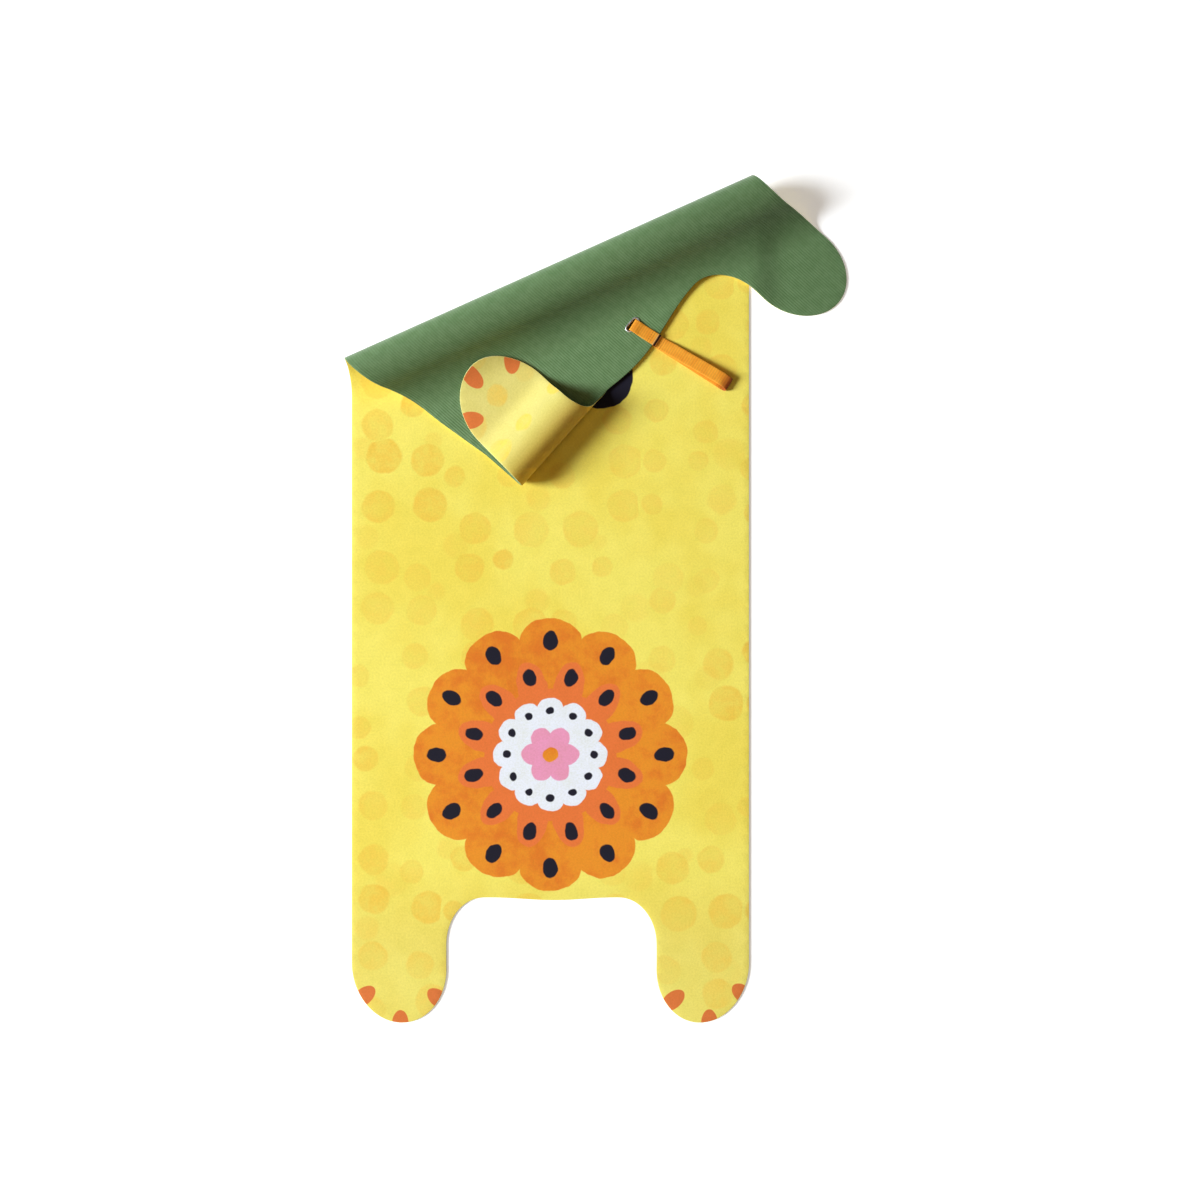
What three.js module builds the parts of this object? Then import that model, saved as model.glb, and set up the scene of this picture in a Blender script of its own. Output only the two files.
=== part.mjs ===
// A play mat with paw-shaped ends, folded once across itself, with one paw rolled back.
// Millimetres. The mat is drawn flat first: across (left to right) and along (up the mat),
// and then each flat point is placed on the folded sheet. The floor is z = 0.
import * as THREE from "three";

// Sheet
const thickness = 2;
const halfThickness = thickness / 2;
const lowerRoot = 189; // along, the edge between the two lower legs
const upperRoot = 1348; // along, the edge between the two upper legs
const cornerAcross = 57; // inner corner where a leg meets the body
const cornerAlong = 71;
const pawDepth = 86; // length of the round end of a leg

// Each end: its two legs, left first, and the low wave of the edge between them.
// Lean is how far the tip of a paw stands to the right of its middle.
const lowerEnd = {
  legs: [
    { left: -300, right: -157, length: 189, lean: 4.5 },
    { left: 160, right: 300, length: 189, lean: -4.5 },
  ],
  wave: { centre: 5, half: 95, rise: 4 },
};
const upperEnd = {
  legs: [
    { left: -285, right: -148, length: 217, lean: -3 },
    { left: 168, right: 300, length: 180, lean: 4 },
  ],
  wave: { centre: -26, half: 134, rise: 15 },
};

// The upper part of the left border runs in a little towards the upper leg
const leftBorder = [
  { along: 1120, across: -300 },
  { along: 1200, across: -296 },
  { along: 1285, across: -287 },
];

// Main fold: a soft bend across the mat, in arcs from the lower layer to the upper one
const foldAngle = 24.14; // of the fold's axis, from the across direction
const foldAlong = 1079.5; // where the bend starts, on the middle line
const layerStep = thickness + 3; // middle of the lower layer to middle of the upper one
const foldLean = 0.32; // how far the bend leans sideways, per millimetre of height
const foldArcs = [
  { radius: 60, turn: 38 },
  { radius: 25, turn: 52 },
  { radius: 24, turn: 90 },
  { radius: 46, turn: "down" },
  { radius: 64, turn: "flat" },
];

// The left upper leg rolls back over the upper layer
const rollEdge = 1356.8; // how far the roll reaches, measured on the flat upper layer
const rollStep = thickness + 0.8;
const rollArcs = [
  { radius: 20, turn: 40 },
  { radius: 15, turn: 50 },
  { radius: 23, turn: 90 },
  { radius: 42, turn: "down" },
  { radius: 54, turn: "flat" },
];
const rollSwing = 0.068; // how far the paw swings sideways, for each millimetre that it comes back
const rollStops = { from: -118, to: -55, delay: 50 }; // where the roll ends in the body

// Past the lower layer's right border the upper layer comes down to the floor
const stepDown = { from: 303, to: 350 };

// Net of the sheet
const arcStep = 8; // degrees of bend between two lines of the net

// Eyelet: a metal rim in a slot of the mat, midway between the upper legs
const eyeletPlace = new THREE.Vector2(6, 1319);
const slot = { reach: 7, radius: 4.85 }; // half of the straight side, and the round end
const rimProfile = [
  { out: 3.75, up: 4.3 },
  { out: 3.75, up: 7.9 },
  { out: 3.95, up: 8.2 },
  { out: 4.4, up: 8.3 },
  { out: 5.7, up: 8.3 },
  { out: 6.2, up: 8.15 },
  { out: 6.45, up: 7.8 },
  { out: 6.4, up: 7.5 },
  { out: 4.55, up: 7.5 },
  { out: 4.55, up: 4.7 },
  { out: 6.2, up: 4.7 },
  { out: 6.2, up: 4.2 },
  { out: 5.9, up: 3.9 },
  { out: 4.1, up: 3.9 },
];

// Strap: a loop of elastic webbing through the slot, sewn together at the mat's edge
const strapWidth = 19;
const strapThickness = 1.1;
const strapAngle = -32.6;
const strapAtEdge = [
  { out: 47.2, up: 2.85 },
  { out: 30, up: 2.85 },
  { out: 10, up: 2.87 },
  { out: 3.4, up: 2.92 },
  { out: 0.8, up: 3.4 },
  { out: 0, up: 4.6 },
  { out: 0, up: 5.9 },
  { out: 0, up: 7.3 },
  { out: 0.8, up: 8.7 },
  { out: 2.2, up: 9.15 },
  { out: 9, up: 9.15 },
  { out: 12, up: 8.65 },
  { out: 16, up: 8.05 },
  { out: 24, up: 7.9 },
  { out: 41.5, up: 7.9 },
  { out: 43.9, up: 7.45 },
  { out: 45.4, up: 6.2 },
  { out: 46.5, up: 4.7 },
  { out: 48.4, up: 3.97 },
];
const strapLoop = [
  { out: 50.4, up: 2.85 },
  { out: 100, up: 2.85 },
  { out: 150, up: 2.87 },
  { out: 160, up: 2.95 },
  { out: 166.5, up: 3.6 },
  { out: 170.3, up: 5.4 },
  { out: 171.1, up: 7.4 },
  { out: 168.6, up: 9.6 },
  { out: 162, up: 10.7 },
  { out: 150, up: 10.6 },
  { out: 130, up: 9.5 },
  { out: 105, up: 7.7 },
  { out: 80, up: 5.8 },
  { out: 60, up: 4.45 },
  { out: 50.4, up: 3.97 },
];
const strapTwist = { perHeight: 0.4, level: 2.85, from: 52, to: 70 }; // the loop's top lies aside

const originAcross = 72;
const originAlong = 632.5;

const radians = THREE.MathUtils.degToRad;
const smooth = THREE.MathUtils.smoothstep;

// A bend's arcs as stretches: where each starts along the sheet, ahead and up, and its slope
function bend(arcs, step) {
  const crest = arcs.slice(0, 3).reduce(
    (state, { radius, turn }) => ({
      slope: state.slope + radians(turn),
      up: state.up + radius * (Math.cos(state.slope) - Math.cos(state.slope + radians(turn))),
    }),
    { slope: 0, up: 0 },
  ).up;
  const down = Math.acos(1 - (crest - step) / (arcs[3].radius + arcs[4].radius));
  const turns = { down, flat: -down };
  const state = { start: 0, ahead: 0, up: 0, slope: 0 };
  const stretches = [];
  for (const { radius, turn } of arcs) {
    const angle = turns[turn] ?? radians(turn);
    const way = Math.sign(angle);
    stretches.push({ ...state, radius, way, length: Math.abs(angle) * radius });
    state.ahead += way * radius * (Math.sin(state.slope + angle) - Math.sin(state.slope));
    state.up += way * radius * (Math.cos(state.slope) - Math.cos(state.slope + angle));
    state.slope += angle;
    state.start += Math.abs(angle) * radius;
  }
  stretches.push({ ...state, radius: 1, way: 0, length: Infinity });
  return stretches;
}

function alongBend(stretches, distance) {
  if (distance <= 0) return { ahead: distance, up: 0 };
  const part = stretches.findLast(({ start }) => distance >= start);
  const run = distance - part.start;
  if (part.way === 0) return { ahead: part.ahead - run, up: part.up };
  const slope = part.slope + (part.way * run) / part.radius;
  return {
    ahead: part.ahead + part.way * part.radius * (Math.sin(slope) - Math.sin(part.slope)),
    up: part.up + part.way * part.radius * (Math.cos(part.slope) - Math.cos(slope)),
  };
}

function bendLines(stretches) {
  return stretches.flatMap(({ start, length, radius, way }) => {
    if (way === 0) return [start];
    const steps = Math.ceil(length / radius / radians(arcStep));
    return Array.from({ length: steps }, (_, i) => start + (length * i) / steps);
  });
}

const fold = bend(foldArcs, layerStep);
const roll = bend(rollArcs, rollStep);
const foldAxis = new THREE.Vector2(Math.cos(radians(foldAngle)), Math.sin(radians(foldAngle)));
const foldWay = new THREE.Vector2(-foldAxis.y, foldAxis.x);
const flapAngle = 2 * foldAngle - 90; // direction of the mat's length on the upper layer
const flapWay = new THREE.Vector2(Math.cos(radians(flapAngle)), Math.sin(radians(flapAngle)));
const foldEnd = fold.at(-1).start;
const foldCrest = fold[3].start;

const pastFold = ({ x, y }) => foldWay.dot({ x, y: y - foldAlong });

function placeOnFold(across, along) {
  const flat = { x: across, y: along - foldAlong };
  const past = foldWay.dot(flat);
  const { ahead, up } = alongBend(fold, past);
  const side = foldAxis.dot(flat) - foldLean * up;
  const x = foldAxis.x * side + foldWay.x * ahead;
  const y = foldAlong + foldAxis.y * side + foldWay.y * ahead;
  const drop = layerStep * smooth(x, stepDown.from, stepDown.to) * smooth(past, foldCrest, foldEnd);
  return new THREE.Vector3(x, y, halfThickness + up - drop);
}

const { start: rollSide, ahead: rollReach } = roll[2];

function rollStart(across) {
  if (across >= rollStops.to) return Infinity;
  const delay = rollStops.delay * smooth(across, rollStops.from, rollStops.to);
  return rollEdge - rollReach + delay;
}

// The tip of the rolled paw lies up on the foot of the main fold
function liftOnFold({ x, y }) {
  const { ahead } = fold.at(-1);
  const { radius } = fold.at(-2);
  const reach = Math.max(0, foldWay.dot({ x, y: y - foldAlong }) - ahead);
  const level = Math.sqrt(radius ** 2 - reach ** 2);
  return radius - level + rollStep * (radius / level - 1);
}

// The middle of the folded sheet at one flat point
function place(across, along) {
  const past = along - rollStart(across);
  if (past <= 0) return placeOnFold(across, along);
  const { ahead, up } = alongBend(roll, past);
  const swing = past > rollSide ? rollSwing * (rollReach - ahead) : 0;
  const point = placeOnFold(across, rollStart(across));
  point.x += flapWay.x * ahead - flapWay.y * swing;
  point.y += flapWay.y * ahead + flapWay.x * swing;
  point.z += up + liftOnFold(point);
  return point;
}

function normalAt(across, along) {
  const step = 0.4;
  const overAcross = place(across + step, along).sub(place(across - step, along));
  const overAlong = place(across, along + step).sub(place(across, along - step));
  return overAcross.cross(overAlong).normalize();
}

// Flat outline of one end from left to right, as across and distance out from its root
function endOutline({ legs: [first, second], wave }) {
  const arc = (x, y, across, out, from, to, steps) =>
    new THREE.EllipseCurve(x, y, across, out, from, to, to < from).getPoints(steps);
  const paw = ({ left, right, length, lean }) => {
    const straight = length - pawDepth;
    const round = arc((left + right) / 2, straight, (right - left) / 2, pawDepth, Math.PI, 0, 24);
    return round.map(({ x, y }) => new THREE.Vector2(x + (lean * (y - straight)) / pawDepth, y));
  };
  const waveAt = (x) => {
    const reach = THREE.MathUtils.clamp((x - wave.centre) / wave.half, -1, 1);
    return wave.rise * Math.cos((reach * Math.PI) / 2) ** 2;
  };
  const corner = (x, from) =>
    arc(x, cornerAlong, cornerAcross, cornerAlong - waveAt(x), from, from + Math.PI / 2, 9);
  const waveFrom = first.right + cornerAcross;
  const waveTo = second.left - cornerAcross;
  const edge = Array.from({ length: 17 }, (_, i) => {
    const x = THREE.MathUtils.lerp(waveFrom, waveTo, (i + 1) / 18);
    return new THREE.Vector2(x, waveAt(x));
  });
  return [
    ...paw(first),
    ...corner(waveFrom, Math.PI),
    ...edge,
    ...corner(waveTo, 1.5 * Math.PI),
    ...paw(second),
  ];
}

function sheetOutline() {
  const lower = endOutline(lowerEnd).map(({ x, y }) => new THREE.Vector2(x, lowerRoot - y));
  const upper = endOutline(upperEnd).map(({ x, y }) => new THREE.Vector2(x, upperRoot + y));
  const border = leftBorder.map(({ along, across }) => new THREE.Vector2(across, along));
  return [...lower, ...upper.reverse(), ...border.reverse()];
}

// Outline of a slot with round ends, grown to a radius around its straight middle
function slotOutline(reach, radius, steps = 8) {
  const right = new THREE.EllipseCurve(reach, 0, radius, radius, -Math.PI / 2, Math.PI / 2);
  const left = new THREE.EllipseCurve(-reach, 0, radius, radius, Math.PI / 2, 1.5 * Math.PI);
  return [...right.getPoints(steps), ...left.getPoints(steps)];
}

// The stretches of a loop between the places where a height over it changes sign
function stretchesOf(loop, height) {
  const starts = loop.flatMap((point, i) => {
    const [before, after] = [height(loop.at(i - 1)), height(point)];
    if (before >= 0 === after >= 0) return [];
    const meet = loop.at(i - 1).clone().lerp(point, before / (before - after));
    return [{ meet, from: i }];
  });
  return starts.map(({ meet, from }, i) => {
    const next = starts[(i + 1) % starts.length];
    const count = (next.from - from + loop.length) % loop.length;
    const points = Array.from({ length: count }, (_, j) => loop[(from + j) % loop.length]);
    return { start: meet, points, end: next.meet };
  });
}

// Cuts a region, given as loops, along the line where a height over it is zero
function cutRegion(loops, height) {
  const stretches = loops.flatMap((loop) => stretchesOf(loop, height));
  if (stretches.length === 0) return loops;
  const meets = stretches.map(({ start }) => start);
  const spread = new THREE.Box2().setFromPoints(meets).getSize(new THREE.Vector2());
  const axis = spread.x > spread.y ? "x" : "y";
  meets.sort((one, other) => one[axis] - other[axis]);
  const across = new Map(meets.map((meet, i) => [meet, meets[i % 2 ? i - 1 : i + 1]]));
  const open = new Map(stretches.map((stretch) => [stretch.start, stretch]));
  const pieces = [];
  while (open.size > 0) {
    const piece = [];
    let stretch = open.values().next().value;
    while (stretch) {
      open.delete(stretch.start);
      piece.push(stretch.start, ...stretch.points, stretch.end);
      stretch = open.get(across.get(stretch.end));
    }
    pieces.push(piece);
  }
  return pieces;
}

// Where one piece has a corner on another's side, that side gets the corner too
function shareCorners(pieces) {
  const known = new Map();
  const shared = pieces.map((piece) =>
    piece
      .map((point) => {
        const key = point.x.toFixed(3) + "," + point.y.toFixed(3);
        if (!known.has(key)) known.set(key, point);
        return known.get(key);
      })
      .filter((point, i, all) => point !== all.at(i - 1)),
  );
  const corners = [...known.values()];
  const onSide = (from, to) => {
    const side = to.clone().sub(from);
    const length = side.length();
    return corners
      .filter((corner) => {
        const offset = corner.clone().sub(from);
        const run = offset.dot(side) / length;
        return run > 0 && run < length && Math.abs(offset.cross(side)) < 2e-3 * length;
      })
      .filter((corner) => corner !== from && corner !== to)
      .sort((one, other) => one.distanceTo(from) - other.distanceTo(from));
  };
  const filled = shared.map((piece) =>
    piece.flatMap((point, i) => [point, ...onSide(point, piece[(i + 1) % piece.length])]),
  );
  return { corners, pieces: filled };
}

// The flat mat as triangles whose sides follow the lines of both bends
function sheetNet() {
  const hole = slotOutline(slot.reach, slot.radius)
    .reverse()
    .map((point) => point.add(eyeletPlace));
  const slotLine = pastFold(eyeletPlace);
  let pieces = cutRegion([sheetOutline(), hole], (point) => pastFold(point) - slotLine);
  const shares = [0, 0.2, 0.4, 0.6, 0.8, 1];
  const cutWhere = (inside, height) => {
    pieces = pieces.flatMap((piece) => (piece.some(inside) ? cutRegion([piece], height) : [piece]));
  };
  for (const line of bendLines(fold)) {
    cutWhere(() => true, (point) => pastFold(point) - line);
  }
  const rollFirst = rollEdge - rollReach;
  const onRoll = ({ x, y }) => x < rollStops.to && y > rollFirst;
  for (const share of shares) {
    const line = THREE.MathUtils.lerp(rollStops.to, rollStops.from, share);
    cutWhere(onRoll, ({ x }) => x - line);
  }
  for (const line of bendLines(roll)) {
    cutWhere(onRoll, ({ x, y }) => y - rollStart(Math.min(x, rollStops.to - 1)) - line);
  }
  const onFlap = (point) => pastFold(point) > foldCrest && point.x > 0;
  for (const share of shares) {
    const line = THREE.MathUtils.lerp(stepDown.from, stepDown.to, share);
    cutWhere(onFlap, ({ x, y }) => placeOnFold(x, y).x - line);
  }
  const { corners, pieces: filled } = shareCorners(pieces);
  const triangles = filled.flatMap((piece) =>
    THREE.ShapeUtils.triangulateShape(piece, []).map((triangle) =>
      triangle.map((corner) => corners.indexOf(piece[corner])),
    ),
  );
  return { points: corners, triangles };
}

// One closed solid from a net: the printed face, the back face and the rim between them
function thickSheet(net) {
  const points = [1, -1].flatMap((side) =>
    net.points.map(({ x, y }) =>
      place(x, y).addScaledVector(normalAt(x, y), side * halfThickness),
    ),
  );
  const count = net.points.length;
  const sides = new Set(
    net.triangles.flatMap(([a, b, c]) => [a + "," + b, b + "," + c, c + "," + a]),
  );
  const rim = [...sides]
    .map((side) => side.split(",").map(Number))
    .filter(([a, b]) => !sides.has(b + "," + a));
  const index = [
    ...net.triangles,
    ...net.triangles.map(([a, b, c]) => [c + count, b + count, a + count]),
    ...rim.flatMap(([a, b]) => [[a + count, b + count, b], [a + count, b, a]]),
  ];
  return new THREE.BufferGeometry().setFromPoints(points).setIndex(index.flat());
}

// A closed rim: a profile carried round a slot
function slotRim(profile, reach) {
  const steps = 8;
  const ways = slotOutline(0, 1, steps);
  const points = ways.flatMap((way, i) => {
    const middle = i <= steps ? reach : -reach;
    return profile.map(({ out, up }) => new THREE.Vector3(middle + way.x * out, way.y * out, up));
  });
  const rows = profile.length;
  const index = ways.flatMap((_, i) =>
    profile.flatMap((_, j) => {
      const [here, next] = [i * rows, ((i + 1) % ways.length) * rows];
      const above = (j + 1) % rows;
      return [here + j, here + above, next + above, here + j, next + above, next + j];
    }),
  );
  return new THREE.BufferGeometry().setFromPoints(points).setIndex(index);
}

// One side of a strand: a curve through its rows, moved sideways
function strandSide(rows, sideways, steps) {
  const points = rows.map(({ out, up }) => new THREE.Vector3(out, up, 0));
  const curve = new THREE.CatmullRomCurve3(points, false, "centripetal");
  return Array.from({ length: steps + 1 }, (_, i) => {
    const { x, y } = curve.getPoint(i / steps);
    const way = curve.getTangent(i / steps);
    return new THREE.Vector2(x - way.y * sideways, y + way.x * sideways);
  });
}

// The webbing seen from its edge: an outer line, and the two loops that it leaves open
function strapShape() {
  const half = strapThickness / 2;
  const shape = new THREE.Shape([
    ...strandSide(strapLoop, -half, 56),
    ...strandSide(strapAtEdge, half, 72).reverse(),
  ]);
  shape.holes = [
    new THREE.Path(strandSide(strapLoop, half, 56)),
    new THREE.Path(strandSide(strapAtEdge, -half, 72)),
  ];
  return shape;
}

const colours = { sheet: 0xf3df6c, metal: 0xc9ccd1, webbing: 0xe9972f };

function makeMat() {
  const material = new THREE.MeshStandardMaterial({ color: colours.sheet, roughness: 0.85 });
  const mesh = new THREE.Mesh(thickSheet(sheetNet()), material);
  mesh.name = "mat";
  return mesh;
}

function makeEyelet() {
  const material = new THREE.MeshStandardMaterial({
    color: colours.metal,
    roughness: 0.2,
    metalness: 1,
  });
  const mesh = new THREE.Mesh(slotRim(rimProfile, slot.reach), material);
  mesh.name = "eyelet";
  const { x, y } = placeOnFold(eyeletPlace.x, eyeletPlace.y);
  mesh.position.set(x, y, 0);
  mesh.rotation.z = radians(flapAngle + 90);
  return mesh;
}

function makeStrap() {
  const geometry = new THREE.ExtrudeGeometry(strapShape(), {
    depth: strapWidth,
    bevelEnabled: false,
    curveSegments: 1,
  });
  geometry.rotateX(Math.PI / 2).translate(0, strapWidth / 2, 0);
  const points = geometry.attributes.position;
  for (let i = 0; i < points.count; i++) {
    const twist = strapTwist.perHeight * smooth(points.getX(i), strapTwist.from, strapTwist.to);
    points.setY(i, points.getY(i) + twist * (points.getZ(i) - strapTwist.level));
  }
  const material = new THREE.MeshStandardMaterial({ color: colours.webbing, roughness: 0.7 });
  const mesh = new THREE.Mesh(geometry, material);
  mesh.name = "strap";
  const { x, y } = placeOnFold(eyeletPlace.x, eyeletPlace.y);
  mesh.position.set(x, y, 0);
  mesh.rotation.z = radians(strapAngle);
  return mesh;
}

const folded = new THREE.Group();
folded.add(makeMat(), makeEyelet(), makeStrap());
folded.position.set(-originAcross, -originAlong, 0);

const playMat = new THREE.Group();
playMat.add(folded);

export default playMat;
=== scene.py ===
import math

import bpy
import numpy as np
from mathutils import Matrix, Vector
from mathutils.geometry import delaunay_2d_cdt


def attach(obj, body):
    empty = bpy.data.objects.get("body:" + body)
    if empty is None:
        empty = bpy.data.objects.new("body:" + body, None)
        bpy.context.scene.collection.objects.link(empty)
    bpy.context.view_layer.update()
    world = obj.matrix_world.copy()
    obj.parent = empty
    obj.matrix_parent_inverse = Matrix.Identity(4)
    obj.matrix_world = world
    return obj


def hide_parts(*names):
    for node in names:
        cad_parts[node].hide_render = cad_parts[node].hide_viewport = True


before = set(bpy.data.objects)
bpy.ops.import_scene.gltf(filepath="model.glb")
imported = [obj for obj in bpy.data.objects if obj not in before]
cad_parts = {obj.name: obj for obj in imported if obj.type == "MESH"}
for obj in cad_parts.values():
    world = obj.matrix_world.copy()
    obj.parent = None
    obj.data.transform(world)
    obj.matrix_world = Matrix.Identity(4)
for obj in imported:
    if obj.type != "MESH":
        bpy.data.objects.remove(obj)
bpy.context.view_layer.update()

mm = 0.001  # the sheet, eyelet and strap are in millimetres, Blender's objects and shaders in metres

# The mat is drawn flat as across (left to right) and along (up the mat), then each flat point
# is placed on the folded sheet, in the same way as the solid in the frame.

sheet = {
    "thickness": 2.0,
    "lowerRoot": 189, "upperRoot": 1348,  # along, the edges between the legs
    "cornerAcross": 57, "cornerAlong": 71, "pawDepth": 86,
    "originAcross": 72, "originAlong": 632.5,  # the frame's origin
}
lowerEnd = {
    "legs": [
        {"left": -300, "right": -157, "length": 189, "lean": 4.5},
        {"left": 160, "right": 300, "length": 189, "lean": -4.5},
    ],
    "wave": {"centre": 5, "half": 95, "rise": 4},
}
upperEnd = {
    "legs": [
        {"left": -285, "right": -148, "length": 217, "lean": -3},
        {"left": 168, "right": 300, "length": 180, "lean": 4},
    ],
    "wave": {"centre": -26, "half": 134, "rise": 15},
}
leftBorder = [(1120, -300), (1200, -296), (1285, -287)]  # along, across

mainFold = {
    "angle": 24.14, "along": 1079.5,  # degrees, and where the bend starts on the mat's middle line
    "step": 5.0, "lean": 0.32,  # height of the upper layer, and its shift aside for its height
    "arcs": [(60, 38), (25, 52), (24, 90), (46, "down"), (64, "flat")],  # radius, degrees
    "stepDown": (303, 350), "drop": 5.0,  # across, where the upper layer comes down to the floor
}
pawRoll = {
    "edge": 1356.8, "step": 2.8, "swing": 0.068,  # along, height over the roll's foot, turn aside
    "arcs": [(20, 40), (15, 50), (23, 90), (42, "down"), (54, "flat")],
    "stops": (-118, -55), "delay": 50,  # across, where the roll runs out, and how much later it starts
}
net = {
    "flat": 12.0, "bend": 2.8, "beside": 11.0, "border": 3.0, "clear": 1.6,  # spacing of the sheet's points
    "beforeRoll": 2.0, "pastRoll": 400, "rollColumns": 16, "sliver": 0.05,
    "pawSteps": 72, "cornerSteps": 30, "waveSteps": 50,
}


def smooth(x, low, high):
    t = np.clip((x - low) / (high - low), 0, 1)
    return t * t * (3 - 2 * t)


def bend(arcs, step):
    # A list of arcs, each with where it starts along the sheet, ahead and up, and its slope.
    # The fourth arc comes down to the step and the fifth levels out on it.
    slope, crest = 0.0, 0.0
    for radius, turn in arcs[:3]:
        crest += radius * (math.cos(slope) - math.cos(slope + math.radians(turn)))
        slope += math.radians(turn)
    down = math.acos(1 - (crest - step) / (arcs[3][0] + arcs[4][0]))
    turns = {"down": down, "flat": -down}
    parts, start, ahead, up, slope = [], 0.0, 0.0, 0.0, 0.0
    for radius, turn in arcs:
        angle = turns[turn] if turn in turns else math.radians(turn)
        way = math.copysign(1, angle)
        parts.append({"start": start, "ahead": ahead, "up": up, "slope": slope, "radius": radius, "way": way})
        ahead += way * radius * (math.sin(slope + angle) - math.sin(slope))
        up += way * radius * (math.cos(slope) - math.cos(slope + angle))
        slope += angle
        start += abs(angle) * radius
    parts.append({"start": start, "ahead": ahead, "up": up, "slope": slope, "radius": 1, "way": 0})
    return parts


def alongBend(parts, distance):
    ahead, up = distance.copy(), np.zeros_like(distance)
    for part in parts:
        run = distance - part["start"]
        way, radius, slope = part["way"], part["radius"], part["slope"]
        if way:
            there = slope + way * run / radius
            partAhead = part["ahead"] + way * radius * (np.sin(there) - math.sin(slope))
            partUp = part["up"] + way * radius * (math.cos(slope) - np.cos(there))
        else:
            partAhead, partUp = part["ahead"] - run, np.full_like(run, part["up"])
        ahead = np.where(run >= 0, partAhead, ahead)
        up = np.where(run >= 0, partUp, up)
    return ahead, up


foldParts = bend(mainFold["arcs"], mainFold["step"])
rollParts = bend(pawRoll["arcs"], pawRoll["step"])
foldTurn = math.radians(mainFold["angle"])
foldAxis = np.array([math.cos(foldTurn), math.sin(foldTurn)])
foldWay = np.array([-foldAxis[1], foldAxis[0]])
flapTurn = 2 * foldTurn - math.pi / 2
flapWay = np.array([math.cos(flapTurn), math.sin(flapTurn)])  # the mat's length, on the upper layer
foldCrest, foldEnd = foldParts[3]["start"], foldParts[-1]["start"]
rollSide, rollReach = rollParts[2]["start"], rollParts[2]["ahead"]
rollFirst = pawRoll["edge"] - rollReach


def pastFold(flat):
    return flat[:, 0] * foldWay[0] + (flat[:, 1] - mainFold["along"]) * foldWay[1]


def placeOnFold(flat):
    past = pastFold(flat)
    ahead, up = alongBend(foldParts, past)
    side = flat[:, 0] * foldAxis[0] + (flat[:, 1] - mainFold["along"]) * foldAxis[1]
    side = side - mainFold["lean"] * up
    x = foldAxis[0] * side + foldWay[0] * ahead
    y = mainFold["along"] + foldAxis[1] * side + foldWay[1] * ahead
    drop = mainFold["drop"] * smooth(x, *mainFold["stepDown"]) * smooth(past, foldCrest, foldEnd)
    return np.stack([x, y, sheet["thickness"] / 2 + up - drop], axis=1)


def rollStart(across):
    return rollFirst + pawRoll["delay"] * smooth(across, *pawRoll["stops"])


def liftOnFold(points):
    # How much higher the roll's foot lies where the fold still comes down, short of a steep slope.
    radius = foldParts[-2]["radius"]
    reach = (points[:, 1] - mainFold["along"]) * foldWay[1] + points[:, 0] * foldWay[0]
    reach = np.clip(reach - foldParts[-1]["ahead"], 0, 0.9 * radius)
    level = np.sqrt(radius**2 - reach**2)
    return radius - level + pawRoll["step"] * (radius / level - 1)


def place(flat):
    # The middle of the folded sheet at flat points.
    points = placeOnFold(flat)
    past = flat[:, 1] - rollStart(flat[:, 0])
    rolled = (flat[:, 0] < pawRoll["stops"][1]) & (past > 0)
    if not rolled.any():
        return points
    past = past[rolled]
    ahead, up = alongBend(rollParts, past)
    swing = np.where(past > rollSide, pawRoll["swing"] * (rollReach - ahead), 0)
    foot = placeOnFold(np.stack([flat[rolled, 0], rollStart(flat[rolled, 0])], axis=1))
    foot[:, 0] += flapWay[0] * ahead - flapWay[1] * swing
    foot[:, 1] += flapWay[1] * ahead + flapWay[0] * swing
    foot[:, 2] += up + liftOnFold(foot)
    points[rolled] = foot
    return points


def normalAt(flat):
    # Unit normals of the folded sheet, on the printed face's side.
    step = 0.4
    acrossStep, alongStep = np.array([step, 0]), np.array([0, step])
    overAcross = place(flat + acrossStep) - place(flat - acrossStep)
    overAlong = place(flat + alongStep) - place(flat - alongStep)
    normal = np.cross(overAcross, overAlong)
    return normal / np.linalg.norm(normal, axis=1)[:, None]


def inFrame(points):
    # Millimetres of the folded sheet as metres of the frame.
    return (points - np.array([sheet["originAcross"], sheet["originAlong"], 0])) * mm


# Flat outline

def ellipseArc(centre, halves, fromAngle, toAngle, steps):
    angle = np.linspace(fromAngle, toAngle, steps + 1)
    return np.stack([centre[0] + halves[0] * np.cos(angle), centre[1] + halves[1] * np.sin(angle)], axis=1)


def endOutline(end):
    # One end from left to right, as across and distance out from its root.
    wave = end["wave"]

    def waveAt(x):
        reach = np.clip((x - wave["centre"]) / wave["half"], -1, 1)
        return wave["rise"] * np.cos(reach * math.pi / 2) ** 2

    def paw(leg):
        straight = leg["length"] - sheet["pawDepth"]
        middle, half = (leg["left"] + leg["right"]) / 2, (leg["right"] - leg["left"]) / 2
        arc = ellipseArc((middle, straight), (half, sheet["pawDepth"]), math.pi, 0, net["pawSteps"])
        arc[:, 0] += leg["lean"] * (arc[:, 1] - straight) / sheet["pawDepth"]
        return arc

    def corner(x, fromAngle):
        centre = (x, sheet["cornerAlong"])
        halves = (sheet["cornerAcross"], sheet["cornerAlong"] - waveAt(x))
        return ellipseArc(centre, halves, fromAngle, fromAngle + math.pi / 2, net["cornerSteps"])

    first, second = end["legs"]
    waveFrom, waveTo = first["right"] + sheet["cornerAcross"], second["left"] - sheet["cornerAcross"]
    across = np.linspace(waveFrom, waveTo, net["waveSteps"])[1:-1]
    edge = np.stack([across, waveAt(across)], axis=1)
    corners = corner(waveFrom, math.pi), corner(waveTo, 1.5 * math.pi)
    return np.concatenate([paw(first), corners[0], edge, corners[1], paw(second)])


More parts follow.
